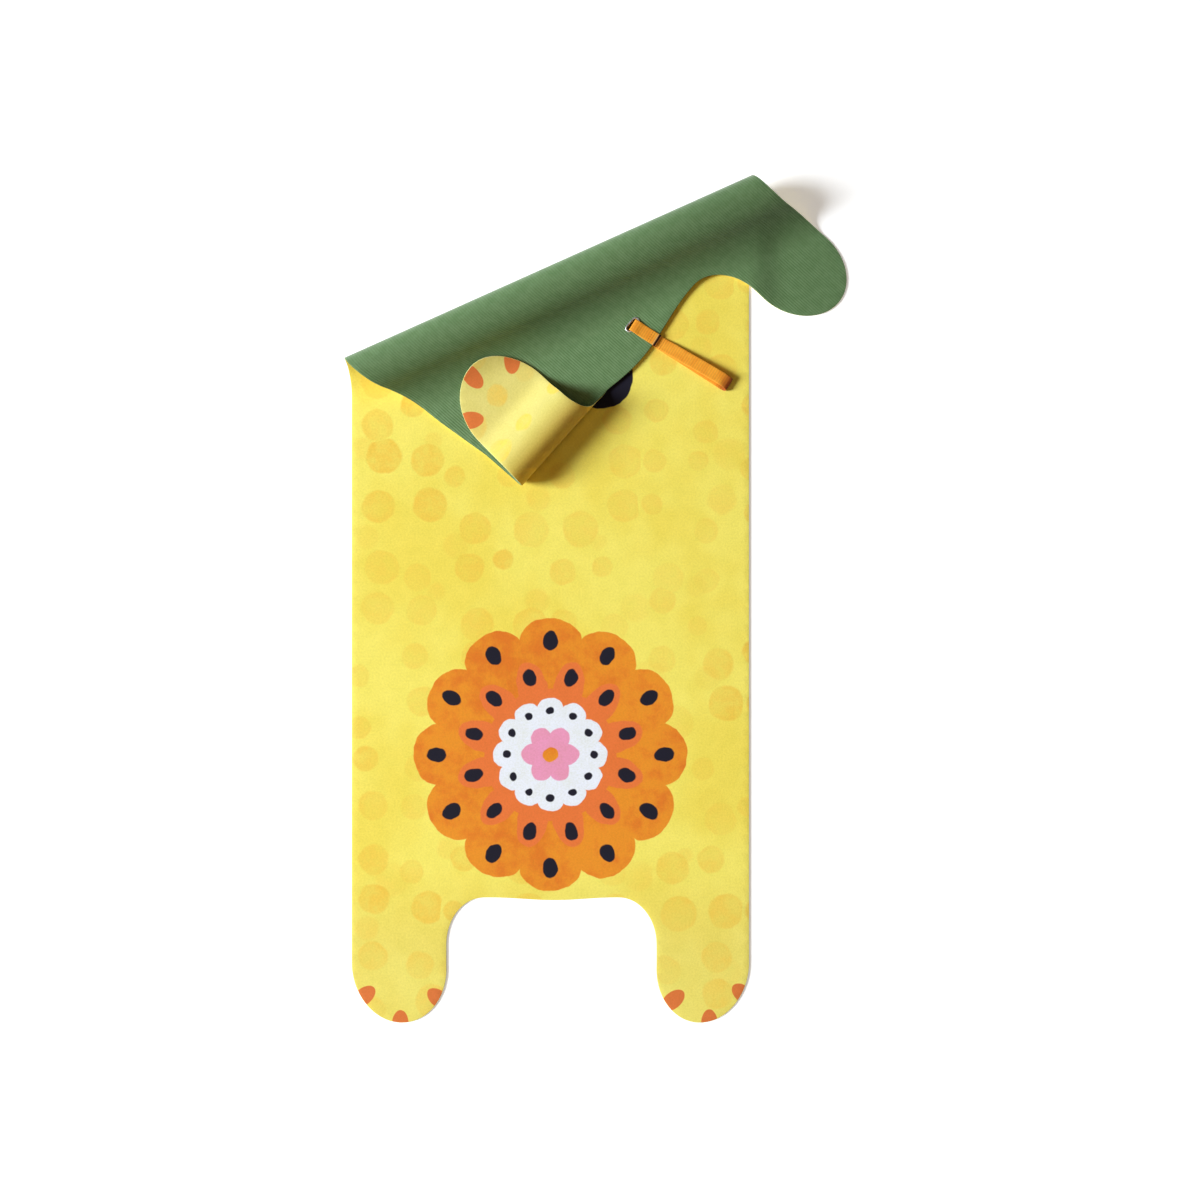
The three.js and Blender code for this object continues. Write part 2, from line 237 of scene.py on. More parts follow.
def sheetOutline():
    lower, upper = endOutline(lowerEnd), endOutline(upperEnd)
    lower[:, 1] = sheet["lowerRoot"] - lower[:, 1]
    upper[:, 1] = sheet["upperRoot"] + upper[:, 1]
    border = np.array([(across, along) for along, across in leftBorder], float)
    return evenly(np.concatenate([lower, upper[::-1], border[::-1]]), net["border"])


def slotOutline(reach, radius, steps):
    right = ellipseArc((reach, 0), (radius, radius), -math.pi / 2, math.pi / 2, steps)
    left = ellipseArc((-reach, 0), (radius, radius), math.pi / 2, 1.5 * math.pi, steps)
    return np.concatenate([right, left])


def evenly(loop, spacing):
    # A closed loop's points set about a spacing apart.
    closed = np.concatenate([loop, loop[:1]])
    run = np.concatenate([[0], np.cumsum(np.linalg.norm(np.diff(closed, axis=0), axis=1))])
    count = round(run[-1] / spacing)
    at = np.linspace(0, run[-1], count, endpoint=False)
    return np.stack([np.interp(at, run, closed[:, i]) for i in (0, 1)], axis=1)


def outward(loop):
    # Unit normals of a counter-clockwise loop, pointing out of it.
    along = np.roll(loop, -1, axis=0) - np.roll(loop, 1, axis=0)
    normal = np.stack([along[:, 1], -along[:, 0]], axis=1)
    return normal / np.linalg.norm(normal, axis=1)[:, None]


def insideLoop(points, loop):
    inside = np.zeros(len(points), bool)
    for (x0, y0), (x1, y1) in zip(loop, np.roll(loop, -1, axis=0)):
        if y0 == y1:
            continue
        crosses = (y0 > points[:, 1]) != (y1 > points[:, 1])
        inside ^= crosses & (points[:, 0] < x0 + (points[:, 1] - y0) * (x1 - x0) / (y1 - y0))
    return inside


def farFrom(points, loop, distance):
    far = np.ones(len(points), bool)
    for part in np.array_split(loop, max(1, len(loop) // 200)):  # in parts, to spare memory
        gap = np.linalg.norm(points[:, None] - part[None], axis=2).min(axis=1)
        far &= gap > distance
    return far


# Eyelet and strap

eyelet = {
    "across": 6, "along": 1319, "reach": 7, "hole": 4.85,
    "profile": [
        (3.75, 4.4), (3.75, 7.8), (3.84, 8.1), (4.1, 8.27), (4.6, 8.38), (5.2, 8.38), (5.8, 8.27),
        (6.2, 8.08), (6.42, 7.82), (6.42, 7.6), (6.3, 7.5), (4.55, 7.5), (4.55, 4.7), (6.2, 4.7),
        (6.28, 4.45), (6.2, 4.15), (5.8, 3.93), (4.3, 3.93), (3.95, 4.05),
    ],  # out from the slot's middle line, and up
    "steps": 20, "holeSteps": 12,
}
strap = {
    "width": 19, "thickness": 1.1, "angle": -32.6,
    "round": 0.35, "corner": (0.1, 0.12), "columns": 9,  # the webbing's section
    "atEdge": [
        (47.2, 2.85), (30, 2.85), (10, 2.87), (3.4, 2.92), (0.8, 3.4), (0, 4.6), (0, 5.9), (0, 7.3),
        (0.8, 8.7), (2.2, 9.15), (9, 9.15), (12, 8.65), (16, 8.05), (24, 7.9), (41.5, 7.9),
        (43.9, 7.45), (45.4, 6.2), (46.5, 4.7), (48.4, 3.97),
    ],  # out from the eyelet, and up
    "loop": [
        (50.4, 2.85), (100, 2.85), (150, 2.87), (160, 2.95), (166.5, 3.6), (170.3, 5.4), (171.1, 7.4),
        (168.6, 9.6), (162, 10.7), (150, 10.6), (130, 9.5), (105, 7.7), (80, 5.8), (60, 4.45), (50.4, 3.97),
    ],
    "twist": 0.4, "twistLevel": 2.85, "twistFrom": (52, 70),  # the loop's top lies aside
    "step": 0.6, "ribs": 3.8, "ribHeight": 0.1,
    "seamOut": 43.5, "seamAbove": 4.4,
    "bakeColumns": 6, "bakeMargin": 2,  # the long strip is laid out side by side for the bake
}
cutEdge = {
    "rows": [
        (-0.45, 1.0), (-0.2, 0.95), (-0.05, 0.8), (0, 0.55), (0, 0.3), (0, -0.55), (-0.05, -0.8),
        (-0.2, -0.95), (-0.45, -1.0),
    ],  # out, and up as a share of half the thickness
    "clothRows": 4,  # the first rows are the printed cloth's
    "bakeMargin": 20,
}


# Meshes

def makeMesh(name, vertices, faces, materials, slots=None):
    mesh = bpy.data.meshes.new(name)
    mesh.from_pydata([tuple(v) for v in vertices], [], [tuple(f) for f in faces])
    for material in materials:
        mesh.materials.append(material)
    if slots is not None:
        mesh.polygons.foreach_set("material_index", np.array(slots, np.int32))
    mesh.polygons.foreach_set("use_smooth", np.ones(len(mesh.polygons), bool))
    mesh.update()
    piece = bpy.data.objects.new(name, mesh)
    bpy.context.scene.collection.objects.link(piece)
    return piece


def addMap(piece, name, places):
    # A UV map from one place for each corner of each face.
    layer = piece.data.uv_layers.new(name=name)
    layer.data.foreach_set("uv", np.array(places, np.float32).ravel())
    return layer


def netPoints(outline, hole):
    # Points inside the outline: rows that follow the bends, and an even net where the sheet is flat.
    low, high = outline.min(axis=0), outline.max(axis=0)
    corners = np.array([(x, y) for x in (low[0], high[0]) for y in (low[1], high[1])])
    side = (corners - [0, mainFold["along"]]) @ foldAxis
    past = pastFold(corners)
    rows = np.concatenate([
        np.arange(past.min(), -net["flat"] / 2, net["flat"]),
        np.linspace(0, foldEnd, round(foldEnd / net["bend"])),
        np.arange(foldEnd + net["flat"], past.max(), net["flat"]),
    ])
    columns = np.arange(side.min(), side.max(), net["beside"])
    column, row = np.meshgrid(columns, rows)
    points = column.reshape(-1, 1) * foldAxis + row.reshape(-1, 1) * foldWay + [0, mainFold["along"]]
    pastStart = points[:, 1] > rollStart(points[:, 0]) - net["beforeRoll"]
    onRoll = pastStart & (points[:, 0] < pawRoll["stops"][1])
    points = points[~onRoll]
    rollLength = rollParts[-1]["start"]
    pastRoll = np.concatenate([
        np.linspace(0, rollLength, round(rollLength / net["bend"])),
        np.arange(rollLength + net["flat"], net["pastRoll"], net["flat"]),
    ])
    across = np.concatenate([
        np.arange(low[0], pawRoll["stops"][0], net["beside"]),
        np.linspace(*pawRoll["stops"], net["rollColumns"]),
    ])
    across, pastRoll = (grid.ravel() for grid in np.meshgrid(across, pastRoll))
    rolled = np.stack([across, rollStart(across) + pastRoll], axis=1)
    points = np.concatenate([points, rolled])
    keep = insideLoop(points, outline) & farFrom(points, outline, net["clear"])
    keep &= ~insideLoop(points, hole) & farFrom(points, hole, net["clear"])
    return points[keep]


def sheetNet(rings):
    # Points and triangles of the flat sheet between its outline and its slot.
    flat = np.concatenate([*rings, netPoints(*rings)])
    edges, first = [], 0
    for ring in rings:
        count = len(ring)
        edges += [(first + i, first + (i + 1) % count) for i in range(count)]
        first += count
    made = delaunay_2d_cdt([Vector(p) for p in flat], edges, [], 1, 1e-6, False)
    corners, triangles = np.array([tuple(v) for v in made[0]]), np.array(made[2])
    centres = corners[triangles].mean(axis=1)
    sides = corners[triangles[:, 1:]] - corners[triangles[:, :1]]
    doubleArea = np.abs(sides[:, 0, 0] * sides[:, 1, 1] - sides[:, 0, 1] * sides[:, 1, 0])
    keep = (doubleArea > net["sliver"]) & insideLoop(centres, rings[0]) & ~insideLoop(centres, rings[1])
    return corners, triangles[keep]


def matPiece(materials):
    # Printed face, back face and the cut edge between them, as one closed mesh.
    half = sheet["thickness"] / 2
    outer = sheetOutline()
    slot = slotOutline(eyelet["reach"], eyelet["hole"], eyelet["holeSteps"])
    slot = slot + [eyelet["across"], eyelet["along"]]
    loops = [(outer, outward(outer)), (slot, -outward(slot))]
    edgeRows = cutEdge["rows"]
    rings = [loop + way * edgeRows[0][0] for loop, way in loops]
    corners, triangles = sheetNet(rings)
    print("sheet net:", len(corners), "points,", len(triangles), "triangles a side")
    middle, normal = place(corners), normalAt(corners)
    vertices = [middle + normal * half, middle - normal * half]
    count = len(corners)
    faces = [*triangles, *(triangles[:, ::-1] + count)]
    flatPlaces = [corners[triangles].reshape(-1, 2), corners[triangles[:, ::-1]].reshape(-1, 2)]
    islands = [np.zeros(triangles.size, int), np.ones(triangles.size, int)]
    slots = [0] * len(triangles) + [1] * len(triangles)
    # The edge: rows carried round each loop. The first and last rows are the faces' own corners.
    spread = [0.0]  # each row's distance from the first, over the edge's curve
    for (out0, up0), (out1, up1) in zip(edgeRows, edgeRows[1:]):
        spread.append(spread[-1] + math.hypot(out1 - out0, (up1 - up0) * half))
    total, first = 2 * count, 0
    for (loop, way), ring in zip(loops, rings):
        size = len(loop)
        rowStarts = [first]
        for out, up in edgeRows[1:-1]:
            at = loop + way * out
            vertices.append(place(at) + normalAt(at) * half * up)
            rowStarts.append(total)
            total += size
        rowStarts.append(count + first)
        here = np.arange(size)
        there = (here + 1) % size
        turn = slice(None) if ring is rings[0] else slice(None, None, -1)
        for j in range(len(edgeRows) - 1):
            quad = np.stack([rowStarts[j] + here, rowStarts[j + 1] + here,
                             rowStarts[j + 1] + there, rowStarts[j] + there], axis=1)[:, turn]
            faces += list(quad)
            onFace = j < cutEdge["clothRows"]
            apart = [d if onFace else spread[-1] - d for d in spread[j:j + 2]]
            places = [ring + way * d for d in apart]
            corner = np.stack([places[0][here], places[1][here], places[1][there], places[0][there]], axis=1)
            flatPlaces.append(corner[:, turn].reshape(-1, 2))
            islands.append(np.full(4 * size, 0 if onFace else 1))
            slots += [2 if onFace else 3] * size
        first += size
    piece = makeMesh("playMat", inFrame(np.concatenate(vertices)), faces, materials, slots)
    flatPlaces, islands = np.concatenate(flatPlaces), np.concatenate(islands)
    flatMap = addMap(piece, "flat", flatPlaces * mm)
    width, margin = np.ptp(outer[:, 0]), cutEdge["bakeMargin"]
    tall = np.ptp(outer[:, 1]) + 2 * margin
    bakePlaces = (flatPlaces - outer.min(axis=0) + margin) / tall
    bakePlaces[:, 0] += islands * (width + margin) / tall
    addMap(piece, "OFBake", bakePlaces)
    piece.data.uv_layers.active = flatMap
    flatMap.active_render = True
    x, y = outer.T
    area = 0.5 * abs(np.sum(x * np.roll(y, -1) - np.roll(x, -1) * y))
    return piece, (width * mm, np.ptp(outer[:, 1]) * mm), area * mm * mm


def eyeletSpot():
    # Where the eyelet's middle lies, in millimetres of the folded sheet.
    return placeOnFold(np.array([[eyelet["across"], eyelet["along"]]], float))[0]


def eyeletPiece(material):
    profile = np.array(eyelet["profile"])
    ways = slotOutline(0, 1, eyelet["steps"])
    rows, half = len(profile), len(ways) // 2
    vertices = []
    for i, (wayX, wayY) in enumerate(ways):
        middle = eyelet["reach"] if i < half else -eyelet["reach"]
        vertices += [(middle + wayX * out, wayY * out, up) for out, up in profile]
    faces = []
    for i in range(len(ways)):
        here, there = i * rows, (i + 1) % len(ways) * rows
        faces += [(here + j, here + (j + 1) % rows, there + (j + 1) % rows, there + j) for j in range(rows)]
    turn = flapTurn + math.pi / 2
    turning = np.array([[math.cos(turn), math.sin(turn)], [-math.sin(turn), math.cos(turn)]])
    vertices = np.array(vertices)
    vertices[:, :2] = vertices[:, :2] @ turning
    spot = inFrame(eyeletSpot())
    vertices = vertices * mm + [spot[0], spot[1], 0]
    return makeMesh("eyeletRim", vertices, faces, [material])


def throughPoints(rows, step):
    # A smooth line through the rows, its points about a step apart.
    rows = np.array(rows, float)
    ends = np.concatenate([[2 * rows[0] - rows[1]], rows, [2 * rows[-1] - rows[-2]]])
    line = []
    for p0, p1, p2, p3 in zip(ends, ends[1:], ends[2:], ends[3:]):
        t0 = 0.0
        t1 = t0 + np.linalg.norm(p1 - p0) ** 0.5
        t2 = t1 + np.linalg.norm(p2 - p1) ** 0.5
        t3 = t2 + np.linalg.norm(p3 - p2) ** 0.5
        count = max(2, math.ceil(np.linalg.norm(p2 - p1) / step))
        for t in np.linspace(t1, t2, count, endpoint=False):
            a1 = (t1 - t) / (t1 - t0) * p0 + (t - t0) / (t1 - t0) * p1
            a2 = (t2 - t) / (t2 - t1) * p1 + (t - t1) / (t2 - t1) * p2
            a3 = (t3 - t) / (t3 - t2) * p2 + (t - t2) / (t3 - t2) * p3
            b1 = (t2 - t) / (t2 - t0) * a1 + (t - t0) / (t2 - t0) * a2
            b2 = (t3 - t) / (t3 - t1) * a2 + (t - t1) / (t3 - t1) * a3
            line.append((t2 - t) / (t2 - t1) * b1 + (t - t1) / (t2 - t1) * b2)
    return np.array(line)


def strapLine():
    # The strap's closed middle line, out from the eyelet and up, and its length so far.
    rows = strap["atEdge"] + strap["loop"][::-1]
    line = throughPoints(rows + rows[:1], strap["step"])
    run = np.concatenate([[0], np.cumsum(np.linalg.norm(np.diff(line, axis=0), axis=1))])
    return line, run


def strapPiece(material):
    # One closed loop of webbing: through the eyelet, over the mat's edge, and out and back.
    line, run = strapLine()
    ahead = np.roll(line, -1, axis=0) - np.roll(line, 1, axis=0)
    ahead /= np.linalg.norm(ahead, axis=1)[:, None]
    up = np.stack([-ahead[:, 1], ahead[:, 0]], axis=1)
    half, thick, bevel = strap["width"] / 2, strap["thickness"] / 2, strap["round"]
    cutIn, cutDown = strap["corner"]
    across = np.linspace(-half + bevel, half - bevel, strap["columns"])
    section = [(a, thick) for a in across]
    section += [(half - cutIn, thick - cutDown), (half, 0), (half - cutIn, -thick + cutDown)]
    section += [(a, -thick) for a in across[::-1]]
    section += [(-half + cutIn, -thick + cutDown), (-half, 0), (-half + cutIn, thick - cutDown)]
    turn = math.radians(strap["angle"])
    out, side = np.array([math.cos(turn), math.sin(turn)]), np.array([-math.sin(turn), math.cos(turn)])
    spot = inFrame(eyeletSpot())
    vertices = []
    ribs = strap["ribHeight"] * (0.5 - 0.5 * np.cos(2 * math.pi * run / strap["ribs"]))
    for at, lift, rib in zip(line, up, ribs):
        for a, height in section:
            x, z = at + lift * (height * (1 - rib / thick))
            aside = a + strap["twist"] * smooth(x, *strap["twistFrom"]) * (z - strap["twistLevel"])
            vertices.append([*(out * x + side * aside), z])
    vertices = np.array(vertices) * mm + [spot[0], spot[1], 0]
    size, count = len(section), len(line)
    faces, corners = [], []
    sides = [math.dist(section[j], section[(j + 1) % size]) for j in range(size)]
    around = np.concatenate([[0], np.cumsum(sides)])
    closedRun = np.append(run, run[-1] + strap["step"])
    for i in range(count):
        here, there = i * size, (i + 1) % count * size
        for j in range(size):
            k = (j + 1) % size
            faces.append((here + j, here + k, there + k, there + j))
            corners += [(around[j], closedRun[i]), (around[j + 1], closedRun[i]),
                        (around[j + 1], closedRun[i + 1]), (around[j], closedRun[i + 1])]
    piece = makeMesh("strapLoop", vertices, faces, [material])
    corners = np.array(corners)
    flatMap = addMap(piece, "flat", corners * mm)
    columns, margin = strap["bakeColumns"], strap["bakeMargin"]
    length = closedRun[-1] / columns
    strip = np.minimum(corners[:, 1].reshape(-1, 4).min(axis=1) // length, columns - 1).repeat(4)
    cell = around[-1] + 2 * margin
    tall = max(length + 2 * margin, cell * columns)
    bake = np.stack([corners[:, 0] + strip * cell, corners[:, 1] - strip * length], axis=1) + margin
    addMap(piece, "OFBake", bake / tall)
    flatMap.active_render = True
    return piece


# Shading

def linear(colour):
    # A colour given as 0 to 255, as the shader's linear values.
    parts = [c / 255 for c in colour]
    return tuple(p / 12.92 if p <= 0.04045 else ((p + 0.055) / 1.055) ** 2.4 for p in parts) + (1.0,)


def isVector(value):
    return isinstance(value, tuple) or (isinstance(value, Wire) and value.socket.type != "VALUE")


class Wire:
    # A node's output, with arithmetic that adds Math or Vector Math nodes.

    def __init__(self, shader, socket):
        self.shader, self.socket = shader, socket

    def combine(self, operation, first, second):
        kind = "ShaderNodeVectorMath" if isVector(first) or isVector(second) else "ShaderNodeMath"
        return self.shader.node(kind, {"operation": operation}, {0: first, 1: second})

    def __add__(self, other):
        return self.combine("ADD", self, other)

    def __radd__(self, other):
        return self.combine("ADD", other, self)

    def __sub__(self, other):
        return self.combine("SUBTRACT", self, other)

    def __rsub__(self, other):
        return self.combine("SUBTRACT", other, self)

    def __mul__(self, other):
        return self.combine("MULTIPLY", self, other)

    def __rmul__(self, other):
        return self.combine("MULTIPLY", other, self)

    def __truediv__(self, other):
        return self.combine("DIVIDE", self, other)

    def __rtruediv__(self, other):
        return self.combine("DIVIDE", other, self)


class Shader:
    # Nodes of a material or of the world, and the node there that the results go to.

    def __init__(self, owner, kind, **constants):
        owner.use_nodes = True
        self.owner, self.tree = owner, owner.node_tree
        self.surface = next(n for n in self.tree.nodes if n.type == kind)
        for socket, value in constants.items():
            self.surface.inputs[socket.replace("_", " ")].default_value = value

    def node(self, kind, settings=None, sockets=None, output=0):
        made = self.tree.nodes.new(kind)
        for name, value in (settings or {}).items():
            setattr(made, name, value)
        for name, value in (sockets or {}).items():
            self.fill(made.inputs[name], value)
        return Wire(self, made.outputs[output])

    def fill(self, socket, value):
        if isinstance(value, Wire):
            self.tree.links.new(value.socket, socket)
        elif socket.type == "VECTOR" and not isinstance(value, tuple):
            socket.default_value = (value, value, value)
        else:
            socket.default_value = value

    def set(self, name, value):
        self.fill(self.surface.inputs[name], value)

    def math(self, operation, *values):
        return self.node("ShaderNodeMath", {"operation": operation}, dict(enumerate(values)))

    def flat(self):
        return self.node("ShaderNodeUVMap", {"uv_map": "flat"})

    def noise(self, vector, scale, detail, roughness, output=0):
        return self.node(
            "ShaderNodeTexNoise", {"noise_dimensions": "2D"},
            {"Vector": vector, "Scale": scale, "Detail": detail, "Roughness": roughness}, output,
        )

    def between(self, value, low, high, toLow=0.0, toHigh=1.0):
        # A smooth step from toLow to toHigh as value goes from low to high.
        return self.node(
            "ShaderNodeMapRange", {"interpolation_type": "SMOOTHSTEP"},
            {"Value": value, "From Min": low, "From Max": high, "To Min": toLow, "To Max": toHigh},
        )

    def band(self, value, start, full, fading, end):
        # A smooth step up and a smooth step down again.
        return self.between(value, start, full) * self.between(value, end, fading)

    def mix(self, factor, first, second, blend="MIX"):
        return self.node(
            "ShaderNodeMix", {"data_type": "RGBA", "blend_type": blend},
            {0: factor, 6: first, 7: second}, 2,
        )

    def split(self, vector):
        parts = self.node("ShaderNodeSeparateXYZ", None, {0: vector}).socket.node
        return [Wire(self, part) for part in parts.outputs]

    def join(self, x, y, z=0.0):
        return self.node("ShaderNodeCombineXYZ", None, {0: x, 1: y, 2: z})

    def length(self, vector):
        return self.node("ShaderNodeVectorMath", {"operation": "LENGTH"}, {0: vector}, 1)

    def bump(self, height, distance, strength):
        sockets = {"Height": height, "Distance": distance, "Strength": strength}
        return self.node("ShaderNodeBump", None, sockets)


def materialShader(name, **constants):
    return Shader(bpy.data.materials.new(name), "BSDF_PRINCIPLED", **constants)


# The printed face: lengths in metres, on the flat sheet

ground = {
    "yellow": (250, 236, 108), "warm": (246, 226, 92), "dot": (242, 197, 70), "pale": (229, 217, 124),
    # The last three colours on the next line are painted shade: on the rolled leg's crease, on its slope that
    # faces the light, and on the print under the eyelet's slot
    "rollShade": (194, 141, 49), "rollSlopeShade": (178, 168, 96), "holeShade": (38, 28, 18),
    "dots": [(0.074, 0.0, 0.2, 0.17, 1.0), (0.128, 0.311, 0.09, 0.12, 0.5)],
    # each layer of dots: spacing, shift, smallest radius and spread as shares of the spacing, strength
    "randomness": 0.62,
    "wander": 0.0055, "toeWander": 0.0016,  # how unevenly the print's outlines run
    "paleLeg": (1.39, 1.44), "paleEnd": (0.26, 0.1),  # along
    "rolledLeg": (-0.1, -0.13),  # across
    "rollShadeBand": (1.29, 1.33, 1.385, 1.43), "rollSlopeShadeBand": (1.385, 1.41, 1.44, 1.475),  # along
    "holeShadeRadii": (0.0135, 0.01),  # out from the eyelet's middle
}
paint = {
    "orange": (240, 150, 40), "deepOrange": (226, 122, 34), "coral": (236, 122, 58), "navy": (27, 25, 40),
    "white": (238, 243, 250), "pink": (238, 156, 188), "toe": (224, 122, 60),
}
rosette = {
    "across": 0.0, "along": 0.405, "radius": 0.2, "soft": 0.0008,
    "rings": [
        (12, 0.84, (0.19, 0.235), 0, 0.84, "orange"), (12, 0.86, (0.075, 0.055), 0, 0, "navy"),
        (12, 0.52, (0.2, 0.115), 15, 0.5, "coral"), (12, 0.6, (0.07, 0.05), 15, 0, "navy"),
        (12, 0.34, (0.09, 0.1), 0, 0.34, "white"), (12, 0.33, (0.03, 0.03), 0, 0, "navy"),
        (6, 0.12, (0.1, 0.08), 0, 0.12, "pink"),
    ],  # petals, their middle and halves, turn in degrees, radius of the disc filled inside, paint
    "heart": 0.055,
}
darkDot = {"across": 0.0785, "along": 0.973, "radius": 0.046}
toes = {
    "half": (0.0125, 0.021),
    "places": [
        (-0.2820, 0.0395, -50), (-0.2265, -0.0020, 0), (-0.1680, 0.0360, 50),
        (0.1850, 0.0340, -50), (0.2400, -0.0005, 0), (0.2915, 0.0430, 50),
        (-0.2725, 1.5140, 50), (-0.2245, 1.5550, 0), (-0.1630, 1.5275, -50),
        (0.184, 1.485, 50), (0.238, 1.526, 0), (0.286, 1.483, -50),
    ],  # across, along, turn in degrees
}


def petals(shader, vector, count, middle, halves, turn):
    # How far a place is from the nearest of a ring of ellipses, as a share of the ellipse.
    x, y = shader.split(vector)[:2]
    angle = shader.math("ARCTAN2", y, x) + turn
    sector = 2 * math.pi / count
    folded = shader.math("PINGPONG", angle + 4 * math.pi, sector / 2)  # two turns more keep it positive
    reach = shader.length(vector)
    along = (reach * shader.math("COSINE", folded) - middle) / halves[0]
    side = reach * shader.math("SINE", folded) / halves[1]
    return shader.length(shader.join(along, side))


def faceMaterial():
    shader = materialShader("printedFace", Sheen_Weight=0.06, Sheen_Roughness=0.5, Specular_IOR_Level=0.2)
    flat = shader.flat()
    broad = shader.noise(flat, 5.0, 3.0, 0.6)
    wash = shader.noise(flat, 34.0, 4.0, 0.65)
    fine = shader.noise(flat, 330.0, 3.0, 0.7)
    grain = shader.noise(flat, 1100.0, 2.0, 0.6)
    wander = shader.noise(flat, 42.0, 2.0, 0.5, 1) - (0.5, 0.5, 0.5)
    drawn = flat + wander * ground["wander"]
    # Ground, paler at both ends, with painted shade on the rolled leg: along its crease, and on its slope
    # that faces the light
    colour = shader.mix(shader.between(broad, 0.35, 0.65), linear(ground["yellow"]), linear(ground["warm"]))
    x, y = shader.split(flat)[:2]
    colour = shader.mix(shader.between(y, *ground["paleLeg"]), colour, linear(ground["pale"]))
    onLeg = shader.between(x, *ground["rolledLeg"])
    # painted shade along the rolled leg's crease, where the roll turns away from the light
    rollShade = shader.band(y, *ground["rollShadeBand"]) * onLeg * shader.between(wash, 0.2, 0.8, 0.6, 0.8)
    colour = shader.mix(rollShade, colour, linear(ground["rollShade"]))
    # painted shade on the roll's slope that faces the light, to dim it
    rollSlopeShade = shader.band(y, *ground["rollSlopeShadeBand"]) * onLeg * 0.45
    colour = shader.mix(rollSlopeShade, colour, linear(ground["rollSlopeShade"]))
    colour = shader.mix(shader.between(y, *ground["paleEnd"], 0.0, 0.35), colour, linear(ground["pale"]))
    # Faint round spots
    faded = shader.between(shader.noise(flat, 4.0, 2.0, 0.5), 0.36, 0.62, 0.5, 1.0)
    for spacing, shift, smallest, spread, strength in ground["dots"]:
        cell = shader.node(
            "ShaderNodeTexVoronoi", {"voronoi_dimensions": "2D", "feature": "F1"},
            {"Vector": drawn + (shift, shift, 0.0), "Scale": 1 / spacing, "Randomness": ground["randomness"]},
        )
        chance, other = shader.split(Wire(shader, cell.socket.node.outputs["Color"]))[:2]
        uneven = cell - (smallest + spread * chance) + 0.07 * (wash - 0.5)
        inside = shader.between(uneven, 0.03, -0.03)
        pooled = shader.between(shader.math("ABSOLUTE", uneven + 0.05), 0.09, 0.0, 0.0, 0.06)
        washed = shader.between(wash, 0.3, 0.7, 0.35, 0.8) + pooled
        share = inside * washed * (0.55 + 0.45 * other) * faded * strength
        colour = shader.mix(share, colour, linear(ground["dot"]))
    # Round rosette
    deeper = shader.between(wash + 0.6 * broad, 0.6, 1.05)
    orange = shader.mix(deeper, linear(paint["orange"]), linear(paint["deepOrange"]))
    fromMiddle = drawn - (rosette["across"], rosette["along"], 0.0)
    reach = shader.length(fromMiddle)
    soft, size = rosette["soft"], rosette["radius"]
    for count, middle, halves, turn, filled, name in rosette["rings"]:
        halves = (halves[0] * size, halves[1] * size)
        share = petals(shader, fromMiddle, count, middle * size, halves, math.radians(turn))
        shape = shader.between(share, 1 + soft / halves[1], 1 - soft / halves[1])
        if filled:
            disc = shader.between(reach, filled * size + soft, filled * size - soft)
            shape = shader.math("MAXIMUM", shape, disc)
        colour = shader.mix(shape, colour, orange if name == "orange" else linear(paint[name]))
    heart = rosette["heart"] * size
    colour = shader.mix(shader.between(reach, heart + soft, heart - soft), colour, orange)
    # Painted shade on the print beneath the upper layer's eyelet, so that its slot looks dark inside
    under = eyeletSpot() * mm
    holeShade = shader.length(flat - (float(under[0]), float(under[1]), 0.0))
    colour = shader.mix(shader.between(holeShade, *ground["holeShadeRadii"], 0.0, 0.9), colour, linear(ground["holeShade"]))
    # Dark dot and toe marks
    spot = shader.length(drawn - (darkDot["across"], darkDot["along"], 0.0))
    spot = shader.between(spot, darkDot["radius"] + soft, darkDot["radius"] - soft)
    colour = shader.mix(spot, colour, linear(paint["navy"]))
    toePrint = flat + wander * ground["toeWander"]
    toeShare = 0.0
    for across, along, turn in toes["places"]:
        placed = shader.node(
            "ShaderNodeMapping", {"vector_type": "TEXTURE"},
            {"Vector": toePrint, "Location": (across, along, 0.0), "Rotation": (0.0, 0.0, math.radians(turn)),
             "Scale": (*toes["half"], 1.0)},
        )
        share = shader.between(shader.length(placed), 1.03, 0.97)
        toeShare = shader.math("MAXIMUM", toeShare, share)
    colour = shader.mix(toeShare, colour, linear(paint["toe"]))
    # Brush wash and the cloth's own grain over everything
    tone = 0.76 + 0.12 * wash + 0.26 * fine + 0.1 * grain
    blueTone = tone * (0.8 + 0.2 * wash + 0.2 * fine)
    colour = shader.mix(1.0, colour, shader.join(tone, tone, blueTone), "MULTIPLY")
    shader.set("Base Color", colour)
    shader.set("Roughness", shader.between(fine, 0.2, 0.8, 0.82, 0.95))
    shader.set("Normal", shader.bump(fine * 0.7 + grain * 0.3, 0.0005, 0.55))
    return shader.owner


rubber = {
    "dark": (98, 130, 85), "light": (107, 138, 94), "rib": 0.0036,
    "rightShade": (0.05, 0.25, 1.0, 0.87),  # across, from and to, and the tone at both; painted shade, darker towards the right paw
}


